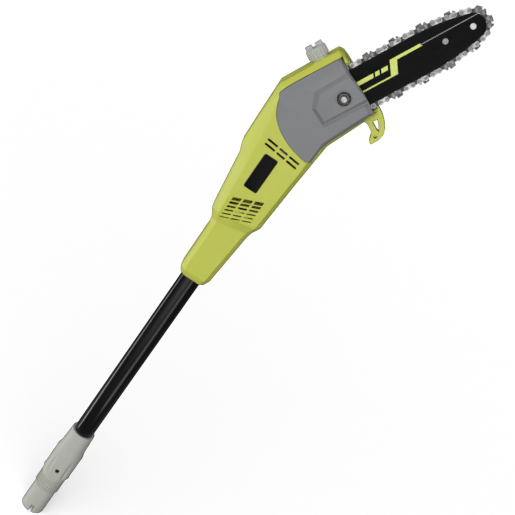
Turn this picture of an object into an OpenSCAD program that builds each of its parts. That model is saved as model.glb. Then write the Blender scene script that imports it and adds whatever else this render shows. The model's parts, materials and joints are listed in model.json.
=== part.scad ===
// Powered head of a sectional pole saw: plug-in coupling, pole tube, motor and gear housing,
// guide bar and saw chain. Millimetres. +Z runs up the pole towards the head, the bar lies in
// an XZ plane, the sprocket cover faces -Y, and the origin is the lower end of the coupling
// spigot on the pole axis.

/* [Pole] */
// Outer diameter of the pole tube
tube_d = 30.5; // [28:0.5:31]
// Wall of the pole tube
tube_wall = 1.5; // [1.2:0.1:2.5]
// Height of the upper rim of the coupling
coupling_top = 171.4; // [160:0.2:180]
// Diameter of the coupling spigot
spigot_d = 37.4; // [36.6:0.2:37.8]
// Length of the coupling spigot
spigot_len = 45; // [38:1:46]

/* [Head] */
// Height where the bar axis crosses the pole axis
head_z = 778; // [776:1:780]
// Lean of the bar from the pole
bar_tilt = 26.6; // [25:0.1:28]
// Wall of the plastic shells
shell_wall = 2.5; // [2:0.1:3]
// Distance of the front face of the housing from the middle plane
front_y = 32; // [31:0.5:33]

/* [Bar and chain] */
// Width of the guide bar
bar_w = 52.4; // [50:0.2:54]
// Thickness of the guide bar
bar_t = 4; // [3.6:0.1:4.2]
// Radius of the bar nose
nose_r = 16.5; // [15.5:0.5:18]
// Drive links in the chain
drive_links_n = 33; // [33:1:33]
// Distance between chain rivets
rivet_pitch = 9.32; // [9.3:0.01:9.34]
// Travel of the bar when the chain is slackened
tension_travel = 3; // [2:0.5:3]

/* [Gears] */
// Teeth of the motor pinion
pinion_teeth = 12; // [12:1:12]
// Teeth of the bevel gear
bevel_teeth = 38; // [38:1:38]
// Module of the bevel pair
bevel_mod = 1.25; // [1.2:0.05:1.25]
// Teeth of the pump drive gear
pump_drive_teeth = 12; // [12:1:12]
// Teeth of the pump gear
pump_gear_teeth = 24; // [24:1:24]

/* [Hidden] */
$fn = 48;

// Planes along Y, from the cover side to the back
bar_y = -16;
floor_y = -13;
floor_t = 2.5;
pad_y = -36.5;
recess_y = -25;
back_y = 36;

// Bar and chain layout, in bar coordinates: s along the bar, t towards the oil cap
sprocket_s = 0;
sprocket_r = 11.5;
wrap_r = 21;
rail_to_rivet = 3.7;
groove_depth = 6.2;
half_w = bar_w / 2;
tail_s = 44;
tail_r = 20;
flare_len = 74;
stud_s = 59.4;
pin_s = 40;
pin_t = -14;
tension_y = -5.5;
lp_half = drive_links_n * rivet_pitch;

// The edge of the bar flares from the nose to the straight rails in one large arc
flare_r = ((flare_len * flare_len) / (half_w - nose_r) + half_w + nose_r) / 2;
nose_angle = atan2(flare_r - half_w, flare_len);

// Leaving angle of the chain from the bar tail, on the outer tangent to the sprocket wrap
tail_c = half_w - tail_r;
tail_d = norm([tail_s - sprocket_s, tail_c]);
leave_angle = atan2(tail_c, tail_s - sprocket_s)
    + acos((wrap_r - tail_r - rail_to_rivet) / tail_d);

// Stretches of half the chain loop, from the nose tip to the back of the sprocket
arc_nose = (nose_r + rail_to_rivet) * nose_angle * PI / 180;
arc_flare = (flare_r + rail_to_rivet) * (90 - nose_angle) * PI / 180;
arc_tail = (tail_r + rail_to_rivet) * (leave_angle - 90) * PI / 180;
run_free = sqrt(tail_d * tail_d - pow(wrap_r - tail_r - rail_to_rivet, 2));
arc_wrap = wrap_r * (180 - leave_angle) * PI / 180;
run_rail = lp_half - arc_nose - arc_flare - arc_tail - run_free - arc_wrap;
flare_s = tail_s + run_rail;
nose_s = flare_s + flare_len;

// Drive axis and gear proportions
axis_x = sprocket_s * sin(bar_tilt);
axis_z = head_z + sprocket_s * cos(bar_tilt);
bevel_r = bevel_teeth * bevel_mod / 2;
pinion_r = pinion_teeth * bevel_mod / 2;
cone_len = norm([bevel_r, pinion_r]);
face_ratio = 0.72;
pump_offset = (pump_drive_teeth + pump_gear_teeth) / 2 + 0.25;
pump_angle = -44;
spindle_r = 5;
spindle_rear_r = 4;
motor_r = 22;
motor_top = 722;
shaft_r = 2.5;
fit = 0.05;

// Oil cap and tank neck, on an axis square to the bar
cap_s = 54;
cap_y = 5;
neck_r = 11;
neck_top = 65;
cap_base = 57.5;
cap_r = 14;

// Screw positions of the housing halves
screw_xz = [[-24, 619], [27, 626], [-38, 715], [37, 742], [-41, 772],
    bar_xz(78, -30), bar_xz(76, 14), bar_xz(26, 46)];

function bar_xz(s, t) = [s * sin(bar_tilt) - t * cos(bar_tilt),
    head_z + s * cos(bar_tilt) + t * sin(bar_tilt)];

// ---------------------------------------------------------------- frames and helpers

// Child drawn with s along Z and -t along X is moved to its place on the leaning bar
module on_bar() {
    translate([0, 0, head_z]) rotate([0, bar_tilt, 0]) children();
}

// Child is placed at the drive axis
module on_axis() {
    translate([axis_x, 0, axis_z]) children();
}

// Flat outline in X and Z, thick from y0 to y1
module slab(y0, y1) {
    translate([0, y1, 0]) rotate([90, 0, 0]) linear_extrude(height = y1 - y0) children();
}

// Cylinder along Y from y0 to y1
module rod(r, y0, y1) {
    translate([0, y0, 0]) rotate([-90, 0, 0]) cylinder(r = r, h = y1 - y0);
}

// Ring along Y
module ring(r_out, r_in, y0, y1) {
    difference() {
        rod(r_out, y0, y1);
        rod(r_in, y0 - 1, y1 + 1);
    }
}

// Ring along Z
module ring_z(r_out, r_in, z0, z1) {
    translate([0, 0, z0]) difference() {
        cylinder(r = r_out, h = z1 - z0);
        translate([0, 0, -1]) cylinder(r = r_in, h = z1 - z0 + 2);
    }
}

// Pipe of 10 sides through a list of points
module pipe(points, r) {
    n = len(points);
    function unit(v) = v / norm(v);
    skin([for (i = [0 : n - 1]) let (
        d = unit((i > 0 ? unit(points[i] - points[i - 1]) : [0, 0, 0])
            + (i < n - 1 ? unit(points[i + 1] - points[i]) : [0, 0, 0])),
        u = unit(cross(d, [0.31, 0.94, 0.13])),
        v = cross(d, u))
        [for (k = [0 : 9]) points[i] + r * (cos(-36 * k) * u + sin(-36 * k) * v)]]);
}

// Solid skinned over rings of points that all have the same count
module skin(rings) {
    n = len(rings[0]);
    m = len(rings);
    points = [for (ring = rings) each ring];
    sides = [for (j = [0 : m - 2], i = [0 : n - 1], k = [0, 1])
        let (a = j * n + i, b = j * n + (i + 1) % n, c = b + n, d = a + n)
        k == 0 ? [a, b, c] : [a, c, d]];
    bottom = [for (i = [1 : n - 2]) [0, i + 1, i]];
    top = [for (i = [1 : n - 2]) [(m - 1) * n, (m - 1) * n + i, (m - 1) * n + i + 1]];
    polyhedron(points = points, faces = concat(sides, bottom, top));
}

// ---------------------------------------------------------------- housing shape

// Each section: left point, right point, front depth, back depth, then the bevels as width and
// depth for the front left, the front right and both back corners
sections = [
    [[-18.6, 494.5], [19.4, 494.5], 18, 18, [7, 7], [7, 7], [7, 7]],
    [[-23.3, 504], [23.8, 506], 22.5, 22.5, [7.5, 10], [7, 9], [8, 9]],
    [[-23.6, 577], [30.2, 592], 24, 24, [7.5, 11], [7, 9], [8, 10]],
    [[-26, 590], [32.3, 603], 25, 26, [9, 12], [7, 9], [9, 11]],
    [[-33.7, 604.8], [37.7, 617], front_y, 32, [11, 16], [7, 10], [11, 14]],
    [[-43.7, 687.2], [42, 700], front_y, 34, [15, 19], [7, 11], [13, 15]],
    [[-49.6, 704], [43, 712], front_y, 35, [18, 20], [7, 11], [14, 16]],
    [[-50.3, 732.6], [44.3, 732.6], front_y, back_y, [17, 19], [8, 12], [14, 16]],
    [bar_xz(-5.6, 54.8), bar_xz(8, -48.4), front_y, back_y, [9, 15], [10, 15], [13, 15]],
    [bar_xz(39, 55), bar_xz(52, -44.3), front_y, back_y, [8, 14], [10, 16], [12, 14]],
    [bar_xz(81, 55), bar_xz(86, -41), front_y, back_y, [8, 14], [9, 16], [12, 14]],
    [bar_xz(85.5, 49), bar_xz(89, -38), front_y - 3, back_y - 4, [6, 12], [7, 14], [10, 12]]];

// One ring of the housing, drawn in by the wall thickness w
function housing_ring(q, w) = let (
        e = (q[1] - q[0]) / norm(q[1] - q[0]),
        a = q[0] + w * e,
        b = q[1] - w * e,
        yf = q[2] - w,
        yb = q[3] - w,
        k = 0.4 * w,
        p = function (base, along, y) [base.x + along * e.x, y, base.y + along * e.y])
    [p(a, q[4][0] - k, -yf), p(a, 0, -yf + q[4][1] - k), p(a, 0, yb - q[6][1] + k),
        p(a, q[6][0] - k, yb), p(b, k - q[6][0], yb), p(b, 0, yb - q[6][1] + k),
        p(b, 0, -yf + q[5][1] - k), p(b, k - q[5][0], -yf)];

module housing_outer(grow = 0) {
    skin([for (q = sections) housing_ring(q, -grow)]);
}

// Hollow of the housing, closed at the neck and at the front
module housing_hollow() {
    n = len(sections);
    neck = [sections[0][0] + [0, 6], sections[0][1] + [0, 6], 18.5, 18.5, [6, 7], [6, 7], [6, 7]];
    front = [bar_xz(80, 54), bar_xz(85, -40.5), front_y, back_y, [8, 14], [9, 16], [12, 14]];
    skin([housing_ring(neck, shell_wall), for (i = [1 : n - 3]) housing_ring(sections[i], shell_wall),
        housing_ring(front, shell_wall)]);
}

// Outline of the sprocket cover, in bar coordinates with s up and -t to the right
module cover_outline() {
    polygon([[-47, 82], [-47.2, 0], [-40, -13], [-30, -22.5], [-20, -28.5], [-8, -32], [2, -33.3],
        [16, -33], [29, -31], [44, -27], [51, -24], [54.5, -20], [44, 7.5], [40.6, 52], [38, 88],
        [28, 86], [-24, 80.5]]);
}

// Stands and ribs that stay inside the hollow
module housing_bosses() {
    for (q = screw_xz) translate([q.x, 0, q.y]) rod(4, -50, 50);
    for (z = [512, 566]) translate([-40, -40, z]) cube([80, 80, 3]);
    for (z = [672, 708]) translate([-60, -50, z]) cube([120, 100, 2.5]);
    translate([0, 0, 540]) rod(5.5, -50, 50);
}

// Everything inside the shells that the ribs make room for
module housing_clearance() {
    translate([0, 0, 400]) cylinder(r = tube_d / 2 + fit, h = 186);
    translate([axis_x, 0, 600]) cylinder(r = motor_r + 0.1, h = 140);
    translate([-28, 0, 660]) cube([12, 12, 40], center = true);
}

// Air slots: two rows below the cover and the slanted grille of the air inlet
module air_slots() {
    for (row = [0, 1], x = [-16, 2.4, 20.5])
        translate([x, 0, 728.5 - 7 * row - 0.11 * x]) rotate([0, 6, 0])
            cube([x == 2.4 ? 13.4 : 16.6, 200, 3.2], center = true);
    for (row = [0 : 5], x = [-12.9, 1.2, 15.3]) let (half = 1 + 0.072 * row * row)
        translate([x, 0, 611 + (5.9 + 0.09 * row) * row + 0.43 * x]) slab(-100, 100)
            polygon([[-5.7, -2.45 - half], [5.7, 2.45 - half], [5.7, 2.45 + half], [-5.7, half - 2.45]]);
}

module front_half() {
    translate([-200, -200, 400]) cube([500, 200, 600]);
}

module housing_front() {
    color("yellowgreen") difference() {
        intersection() {
            housing_outer();
            front_half();
        }
        difference() {
            housing_hollow();
            on_bar() slab(-60, floor_y + floor_t) offset(delta = shell_wall) cover_outline();
            difference() {
                housing_bosses();
                housing_clearance();
            }
        }
        on_bar() slab(-60, floor_y) union() {
            offset(delta = 0.4) cover_outline();
            translate([-38, 60]) square([76, 60]);
        }
        translate([0, 0, 480]) cylinder(r = tube_d / 2 + fit, h = 60);
        for (q = screw_xz) translate([q.x, 0, q.y]) rod(1.6, -8, 1);
        translate([0, 0, 540]) rod(2.5 + fit, -19, 1);
        intersection() {
            air_slots();
            translate([-60, -60, 590]) cube([120, 50, 160]);
        }
        translate([-6, -front_y - 1, 686]) label_blank(1.6);
        on_axis() rod(14, -30, 0);
        on_bar() {
            translate([-pin_t, 0, pin_s - 3 - tension_travel - 1])
                translate([-3.5, -20, 0]) cube([7, 20, tension_travel + 8]);
            translate([0, 0, stud_s]) rod(4 + fit, -20, 1);
            translate([-pin_t, tension_y, 76]) cylinder(r = 3.7, h = 30);
            translate([-20, 0, 36]) rod(2 + fit, -20, 1);
        }
        cap_hole();
    }
}

// Hole in the top of the shells for the tank neck
module cap_hole() {
    on_bar() translate([-90, cap_y, cap_s]) rotate([0, 90, 0]) cylinder(r = neck_r + 0.3, h = 50);
}

module housing_back() {
    color("yellowgreen") difference() {
        intersection() {
            housing_outer();
            translate([0, 200, 0]) front_half();
        }
        difference() {
            housing_hollow();
            difference() {
                housing_bosses();
                housing_clearance();
            }
        }
        translate([0, 0, 480]) cylinder(r = tube_d / 2 + fit, h = 60);
        for (q = screw_xz) translate([q.x, 0, q.y]) {
            rod(2.1, -1, 60);
            rod(3.9, 20, 60);
        }
        translate([0, 0, 540]) {
            rod(2.5 + fit, -1, 40);
            rod(4.8, 19, 40);
        }
        intersection() {
            air_slots();
            translate([-60, 10, 590]) cube([120, 50, 160]);
        }
        cap_hole();
    }
}

module housing_screws() {
    color("dimgray") for (q = screw_xz) translate([q.x, 0, q.y]) difference() {
        union() {
            rod(1.5, -7.5, 21);
            rod(3.6, 20, 22.6);
        }
        translate([-2.4, 21.4, -0.5]) cube([4.8, 2, 1]);
        translate([-0.5, 21.4, -2.4]) cube([1, 2, 4.8]);
    }
}

// Rounded plate outline, 20.4 wide and 54 tall, standing on the front face
module label_blank(t) {
    r = 2.5;
    translate([0, t, 0]) rotate([90, 0, 0]) linear_extrude(height = t) union() {
        square([20.4 - 2 * r, 54], center = true);
        square([20.4, 54 - 2 * r], center = true);
        for (i = [-1, 1], j = [-1, 1]) translate([i * (10.2 - r), j * (27 - r)]) circle(r = r);
    }
}

module label_plate() {
    color("black") translate([-6, -front_y - 0.4, 686]) label_blank(1);
}

// Hook below the bar, with a serrated front edge, a window and a cord hole
module limb_hook() {
    edge = [for (i = [0 : 21]) let (x = 36 + 1.45 * i, notch = i % 2 == 1 ? 1.1 : 0)
        [x, 92 - 0.01 * (x - 40) * (x - 40) - notch]];
    color("yellowgreen") on_bar() difference() {
        slab(-11.5, 1.5) difference() {
            polygon(concat([[30, 50], [30, 84], [31, 88.5], [34, 91.5]], edge,
                [[70, 81.5], [73, 76], [74.6, 69], [74.6, 59.5], [72, 59.3], [68.4, 61.5],
                    [64, 66], [60, 68], [50, 68.6], [45.5, 67.4], [42.8, 65], [41, 58]]));
            polygon([[49, 75], [49, 82.3], [57, 80.8], [65.5, 76.6], [62, 75]]);
            translate([69, 69]) circle(r = 2.4);
        }
        rotate([0, -bar_tilt, 0]) translate([0, 0, -head_z]) housing_outer();
    }
}

// ---------------------------------------------------------------- chain path

// Point of half the loop at distance l from the nose tip, as [s, t]
function half_path(l) =
    let (l1 = arc_nose, l2 = l1 + arc_flare, l3 = l2 + run_rail, l4 = l3 + arc_tail,
        l5 = l4 + run_free)
    l < l1 ? let (a = l / (nose_r + rail_to_rivet) * 180 / PI)
        [nose_s + (nose_r + rail_to_rivet) * cos(a), (nose_r + rail_to_rivet) * sin(a)]
    : l < l2 ? let (a = nose_angle + (l - l1) / (flare_r + rail_to_rivet) * 180 / PI)
        [flare_s + (flare_r + rail_to_rivet) * cos(a),
            half_w - flare_r + (flare_r + rail_to_rivet) * sin(a)]
    : l < l3 ? [flare_s - (l - l2), half_w + rail_to_rivet]
    : l < l4 ? let (a = 90 + (l - l3) / (tail_r + rail_to_rivet) * 180 / PI)
        [tail_s + (tail_r + rail_to_rivet) * cos(a), tail_c + (tail_r + rail_to_rivet) * sin(a)]
    : l < l5 ? let (c = cos(leave_angle), s = sin(leave_angle), r = tail_r + rail_to_rivet)
        [tail_s + r * c - (l - l4) * s, tail_c + r * s + (l - l4) * c]
    : let (a = leave_angle + (l - l5) / wrap_r * 180 / PI)
        [sprocket_s + wrap_r * cos(a), wrap_r * sin(a)];

// Point of the whole loop, as [x, z] in bar coordinates
function loop_point(l) = let (w = l < 0 ? l + 2 * lp_half : l >= 2 * lp_half ? l - 2 * lp_half : l,
        upper = w <= lp_half,
        p = half_path(upper ? w : 2 * lp_half - w))
    [upper ? -p[1] : p[1], p[0]];

// Child is placed between rivets i and i + 1, with X along the travel and Z outwards
module at_link(i) {
    a = loop_point(i * rivet_pitch);
    b = loop_point((i + 1) * rivet_pitch);
    m = (a + b) / 2;
    d = a - b;
    translate([m.x, 0, m.y]) rotate([0, atan2(-d.y, d.x), 0]) children();
}

module drive_links() {
    color("silver") on_bar() for (i = [0 : drive_links_n - 1]) at_link(2 * i)
        slab(bar_y - 0.55, bar_y + 0.55) difference() {
            union() {
                polygon([[-6.4, -2.4], [-6.4, 2.2], [-3.4, 2.8], [-1.6, 1.6], [1.6, 1.6], [3.4, 2.8],
                    [6.4, 2.2], [6.4, -2.4], [3.2, -3.8], [1.2, -9], [-0.8, -9], [-3.6, -3.8]]);
                for (x = [-1, 1]) translate([x * rivet_pitch / 2, 0]) circle(r = 3.2);
            }
            for (x = [-1, 1]) translate([x * rivet_pitch / 2, 0]) circle(r = 1.75);
        }
}

module strap(side) {
    y = bar_y + side * 1.2;
    slab(y - 0.6, y + 0.6) difference() {
        union() {
            translate([-rivet_pitch / 2, -3.3]) square([rivet_pitch, 5.4]);
            for (x = [-1, 1]) translate([x * rivet_pitch / 2, 0]) circle(r = 3.4);
        }
        translate([0, -7.6]) circle(r = 5);
        for (x = [-1, 1]) translate([x * rivet_pitch / 2, 0]) circle(r = 1.75);
    }
}

// A cutter takes the place of a strap on one side of every second pair
function cutter_side(i) = i % 2 == 1 ? 0 : i % 4 == 0 ? -1 : 1;

module tie_straps() {
    color("silver") on_bar() for (i = [0 : drive_links_n - 1]) at_link(2 * i + 1) {
        if (cutter_side(i) != -1) strap(-1);
        if (cutter_side(i) != 1) strap(1);
    }
}

module cutters() {
    color("gray") on_bar() for (i = [0 : 2 : drive_links_n - 1]) at_link(2 * i + 1) {
        side = cutter_side(i);
        strap(side);
        y = bar_y + side * 1.2;
        slab(y - 0.6, y + 0.6) difference() {
            polygon([[-7.4, 1], [-7, 4.9], [0.4, 5.9], [0.9, 4.2], [1.4, 2.6], [3, 2.6], [3.6, 4.9],
                [5.4, 5.1], [7.6, 1.6], [6.6, -1.2], [0, 0], [-6.6, -1.2]]);
            for (x = [-1, 1]) translate([x * rivet_pitch / 2, 0]) circle(r = 3.4);
        }
        top = side < 0 ? [bar_y - 1.8, bar_y + 1.2] : [bar_y - 1.2, bar_y + 1.8];
        slab(top[0] - (side < 0 ? 1.2 : 0), top[1] + (side > 0 ? 1.2 : 0))
            polygon([[-7, 4.9], [0.4, 5.9], [0.2, 5.1], [-6.9, 4.1]]);
    }
}

module chain_rivets() {
    color("lightgray") on_bar() for (i = [0 : 2 * drive_links_n - 1]) {
        p = loop_point(i * rivet_pitch);
        translate([p.x, 0, p.y]) {
            rod(1.65, bar_y - 1.8, bar_y + 1.8);
            rod(2.3, bar_y - 2.25, bar_y - 1.8);
            rod(2.3, bar_y + 1.8, bar_y + 2.25);
        }
    }
}

// ---------------------------------------------------------------- guide bar

// Outline of the bar, drawn in by w, as points [x, z] in bar coordinates
function bar_points(w) = let (
        nose = [for (i = [0 : 12]) let (a = i / 12 * nose_angle)
            [(nose_r - w) * sin(a), nose_s + (nose_r - w) * cos(a)]],
        flare = [for (i = [1 : 10]) let (a = nose_angle + i / 10 * (90 - nose_angle))
            [half_w - flare_r + (flare_r - w) * sin(a), flare_s + (flare_r - w) * cos(a)]],
        tail = [for (i = [0 : 8]) let (a = 90 + i / 8 * 90)
            [tail_c + (tail_r - w) * sin(a), tail_s + (tail_r - w) * cos(a)]],
        right = concat(nose, flare, tail))
    concat(right, [for (i = [len(right) - 1 : -1 : 1]) [-right[i].x, right[i].y]]);

module bar_holes() {
    for (k = [-1, 1]) translate([0, 0, stud_s + k * 6]) rod(4.15, bar_y - 5, bar_y + 5);
    translate([-4.15, bar_y - 5, stud_s - 6]) cube([8.3, 10, 12]);
    for (k = [-1, 1]) translate([k * -pin_t, 0, pin_s]) rod(3.05, bar_y - 5, bar_y + 5);
    for (k = [-1, 1]) translate([k * 20, 0, 36]) rod(1.5, bar_y - 5, bar_y + 5);
}

module guide_bar() {
    color("black") on_bar() difference() {
        slab(bar_y - bar_t / 2, bar_y + bar_t / 2) polygon(bar_points(0));
        slab(bar_y - 0.65, bar_y + 0.65) difference() {
            polygon(bar_points(-3));
            polygon(bar_points(groove_depth));
        }
        translate([0, 0, nose_s]) rod(11.2, bar_y - 0.65, bar_y + 0.65);
        translate([0, 0, nose_s]) rod(2.5, bar_y - 5, bar_y + 5);
        translate([0, 0, nose_s - 38]) rod(3.7, bar_y - 5, bar_y + 5);
        bar_holes();
    }
}

// Rivets of the bar nose
module nose_rivets() {
    color("silver") on_bar() {
        translate([0, 0, nose_s]) {
            rod(2.5, bar_y - bar_t / 2, bar_y + bar_t / 2);
            rod(4, bar_y - bar_t / 2 - 0.3, bar_y - bar_t / 2);
            rod(4, bar_y + bar_t / 2, bar_y + bar_t / 2 + 0.3);
        }
        translate([0, 0, nose_s - 38]) rod(3.7, bar_y - bar_t / 2, bar_y + bar_t / 2);
    }
}

// Star wheel that carries the chain round the nose
module nose_sprocket() {
    color("gray") on_bar() translate([0, 0, nose_s]) slab(bar_y - 0.5, bar_y + 0.5) difference() {
        polygon([for (i = [0 : 15]) let (r = i % 2 == 0 ? 10.6 : 8.2, a = i * 22.5)
            [r * sin(a), r * cos(a)]]);
        circle(r = 2.5 + fit);
    }
}

// Pin that pushes the bar, with the nut block that runs on the tension screw
module tension_block() {
    color("silver") on_bar() translate([-pin_t, 0, pin_s]) difference() {
        union() {
            rod(3, bar_y - bar_t / 2, floor_y + 1);
            translate([-3.2, floor_y + 1, -3]) cube([6.4, 10.5, 6]);
        }
        translate([0, tension_y, -10]) cylinder(r = 2 + fit, h = 20);
    }
}

module tension_screw() {
    color("gray") on_bar() translate([-pin_t, tension_y, 0]) difference() {
        union() {
            translate([0, 0, 33]) cylinder(r = 2, h = 50);
            translate([0, 0, 82.2]) cylinder(r = 3.6, h = 3);
        }
        translate([-3, -0.5, 84]) cube([6, 1, 3]);
    }
}

// Steel plate between the shell and the bar
module bar_plate() {
    color("silver") on_bar() difference() {
        slab(floor_y - 0.8, floor_y) polygon([[-23, 28], [-23, 80], [23, 84], [23, 28]]);
        translate([0, 0, stud_s]) rod(4 + fit, -20, 1);
        translate([-pin_t - 3.5, -20, pin_s - 4 - tension_travel]) cube([7, 20, tension_travel + 8]);
        translate([0, 0, sprocket_s]) rod(26, -20, 1);
        translate([-20, 0, 36]) rod(1.5, -20, 1);
    }
}

module bar_stud() {
    color("silver") on_bar() translate([0, 0, stud_s]) {
        rod(4, -40.5, floor_y + floor_t);
        rod(7, floor_y + floor_t, floor_y + floor_t + 3.5);
    }
}

// ---------------------------------------------------------------- sprocket cover

module cover_pad(grow, y) {
    translate([0, y, 0]) rotate([90, 0, 0]) linear_extrude(height = 0.1)
        polygon([[-21.5 - grow, 79], [-20 - grow, 36 - grow], [-6 - grow / 2, 21 - grow],
            [14 + grow, 22 - grow], [14.5 + grow, 84]]);
}

module sprocket_cover() {
    color("dimgray") difference() {
        union() {
            intersection() {
                housing_outer(1);
                on_bar() slab(-60, floor_y - 0.9) cover_trim();
            }
            on_bar() hull() {
                cover_pad(0, pad_y + 0.1);
                cover_pad(5.5, -32);
            }
        }
        difference() {
            intersection() {
                housing_outer(-1.6);
                on_bar() slab(-60, 0) offset(delta = -shell_wall) cover_trim();
            }
            on_bar() translate([0, 0, stud_s]) rod(12.5, -60, bar_y - bar_t / 2 - 0.3);
        }
        on_bar() {
            translate([0, 0, stud_s]) rod(9.6, -60, recess_y);
            translate([0, 0, stud_s]) rod(4 + 0.1, -60, 0);
            translate([-37.5, bar_y - 6, 60]) cube([75, 30, 60]);
        }
    }
}

module cover_trim() {
    intersection() {
        cover_outline();
        polygon([[-80, -60], [80, -60], [80, 88], [31.5, 83], [28, 84.2], [5, 84.2], [-23, 80.3],
            [-46.8, 80], [-80, 80]]);
    }
}

module bar_nut_washer() {
    color("silver") on_bar() translate([0, 0, stud_s])
        ring(8.2, 4 + fit, recess_y - 1.6, recess_y);
}

module bar_nut() {
    color("lightgray") on_bar() translate([0, 0, stud_s]) difference() {
        slab(recess_y - 8.3, recess_y - 1.8) circle(r = 13 / sqrt(3), $fn = 6);
        rod(4 + fit, -60, 0);
    }
}

// ---------------------------------------------------------------- gears and drive

// Teeth and body of a bevel gear with its apex at the origin and its axis along Z
module bevel_wheel(teeth, r, mate_r, back) {
    delta = atan2(r, mate_r);
    tip = 0.75 * bevel_mod;
    root = 1.05 * bevel_mod;
    half = PI * bevel_mod / 4 * 0.8;
    function at(rho, h) = [rho * sin(delta) + h * cos(delta), rho * cos(delta) - h * sin(delta)];
    inner = face_ratio * cone_len;
    rotate_extrude() polygon([[0, at(inner, -root * face_ratio).y], at(inner, -root * face_ratio),
        at(cone_len, -root), [at(cone_len, -root).x, mate_r + back], [0, mate_r + back]]);
    for (i = [0 : teeth - 1]) rotate([0, 0, i * 360 / teeth]) skin([for (q = [[inner, face_ratio],
        [cone_len - 0.05, 1]]) let (b = at(q[0], (-root - 0.2) * q[1]), t = at(q[0], tip * q[1]))
        [[b.x, half * 1.5 * q[1], b.y], [t.x, half * 0.55 * q[1], t.y],
            [t.x, -half * 0.55 * q[1], t.y], [b.x, -half * 1.5 * q[1], b.y]]]);
}

module bevel_pinion() {
    color("silver") on_axis() rotate([180, 0, 0]) difference() {
        bevel_wheel(pinion_teeth, pinion_r, bevel_r, 4);
        cylinder(r = shaft_r, h = 60);
    }
}

module bevel_gear() {
    color("silver") on_axis() rotate([-90, 0, 0]) difference() {
        bevel_wheel(bevel_teeth, bevel_r, pinion_r, 3.5);
        translate([0, 0, -1]) cylinder(r = spindle_r, h = 40);
    }
}

module spindle() {
    color("lightgray") on_axis() {
        rod(4, -24, -11);
        rod(spindle_r, -11, 14.4);
        rod(spindle_rear_r, 14.4, 27);
    }
}

module spindle_clip() {
    color("gray") on_axis() ring(6.5, 4, -21.2, -20.2);
}

module drive_sprocket() {
    color("gray") on_axis() difference() {
        union() {
            slab(bar_y - 2.4, bar_y + 2.4) polygon([for (i = [0 : 5], k = [0 : 3])
                let (a = i * 60 + [0, 16, 30, 44][k] + 22, r = [sprocket_r, sprocket_r - 0.8, 8.4,
                    sprocket_r - 0.8][k]) [r * sin(a), r * cos(a)]]);
            rod(8, -20.2, -11);
        }
        rod(4, -60, 0);
    }
}

// Straight teeth for a small spur gear
module spur_outline(teeth) {
    r = teeth / 2;
    polygon([for (i = [0 : teeth - 1], k = [0 : 3]) let (a = (i + [-0.2, -0.09, 0.09, 0.2][k])
        * 360 / teeth, q = k == 0 || k == 3 ? r - 1.15 : r + 0.8) [q * sin(a), q * cos(a)]]);
}

module pump_drive_gear() {
    color("ivory") on_axis() rotate([0, pump_angle, 0]) difference() {
        slab(22.6, 26.6) spur_outline(pump_drive_teeth);
        rod(spindle_rear_r, 0, 60);
    }
}

module at_pump() {
    on_axis() rotate([0, pump_angle, 0]) translate([0, 0, pump_offset]) children();
}

module pump_gear() {
    color("ivory") at_pump() {
        slab(22.6, 26.6) rotate(180 / pump_gear_teeth) spur_outline(pump_gear_teeth);
        rod(2, 26.6, 32);
    }
}

module oil_pump() {
    color("dimgray") at_pump() difference() {
        union() {
            rod(8, 27.1, 32.5);
            translate([-17, 27.1, -4]) cube([34, 3.4, 8]);
            for (k = [-1, 1]) translate([k * 16, 0, 0]) rod(2.4, 22.4, 27.1);
        }
        rod(2 + fit, 20, 40);
    }
}

module gear_case() {
    color("lightslategray") difference() {
        union() {
            on_axis() rod(31, floor_y + floor_t, 16);
            translate([axis_x, 0, motor_top]) cylinder(r = 10.4, h = 30);
            translate([axis_x, 0, motor_top]) cylinder(r = 21, h = 4);
        }
        on_axis() {
            difference() {
                rod(28, -8, 20);
                rod(15.5, -10, -1);
            }
            rod(13 + fit, -9, 20);
            rod(11.5, -20, 0);
            translate([0, 0, -80]) cylinder(r = 7 + fit, h = 53);
            translate([0, 0, -36.9]) cylinder(r = 9.3, h = 16);
        }
        on_bar() translate([0, 0, stud_s]) rod(8, -20, 0);
    }
}

module gear_case_lid() {
    color("lightslategray") on_axis() difference() {
        union() {
            rod(31, 16, 18.5);
            rod(13.2, 15, 22.3);
        }
        rod(11 + fit, 15.6, 40);
        rod(9, 0, 30);
        for (a = [20 : 90 : 290]) rotate([0, a, 0]) translate([0, 0, 28.6]) rod(1.6, 0, 40);
    }
}

module gear_case_screws() {
    color("gray") on_axis() for (a = [20 : 90 : 290]) rotate([0, a, 0]) translate([0, 0, 28.6])
        rod(2.4, 18.5, 20.5);
}

// Ball bearings of the spindle, drawn as closed rings
module spindle_bearings() {
    color("silver") on_axis() {
        ring(13, spindle_r + fit, -9, -1.2);
        ring(11, spindle_rear_r + fit, 15.6, 22.2);
    }
}

module pinion_bearing() {
    color("silver") translate([axis_x, 0, 0]) ring_z(7, shaft_r + fit, 736, 741);
}

module motor_can() {
    color("gray") translate([axis_x, 0, 0]) difference() {
        translate([0, 0, 664]) cylinder(r = motor_r, h = motor_top - 664);
        translate([0, 0, 663]) cylinder(r = motor_r - 1.6, h = motor_top - 665);
        translate([0, 0, 700]) cylinder(r = 5, h = 30);
    }
}

module motor_end_cap() {
    color("black") translate([axis_x, 0, 0]) difference() {
        union() {
            translate([0, 0, 654]) cylinder(r = motor_r - 0.4, h = 10);
            translate([-motor_r - 3, -4, 656]) cube([6, 8, 6]);
        }
        translate([0, 0, 656]) cylinder(r = motor_r - 3, h = 10);
        translate([0, 0, 640]) cylinder(r = shaft_r + fit, h = 30);
    }
}

module armature() {
    color("sienna") translate([axis_x, 0, 0]) {
        ring_z(16.5, shaft_r, 672, 710);
        ring_z(7, shaft_r, 658, 668);
    }
}

module motor_shaft() {
    color("silver") translate([axis_x, 0, 640]) cylinder(r = shaft_r, h = axis_z - 640 - 17);
}

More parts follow.
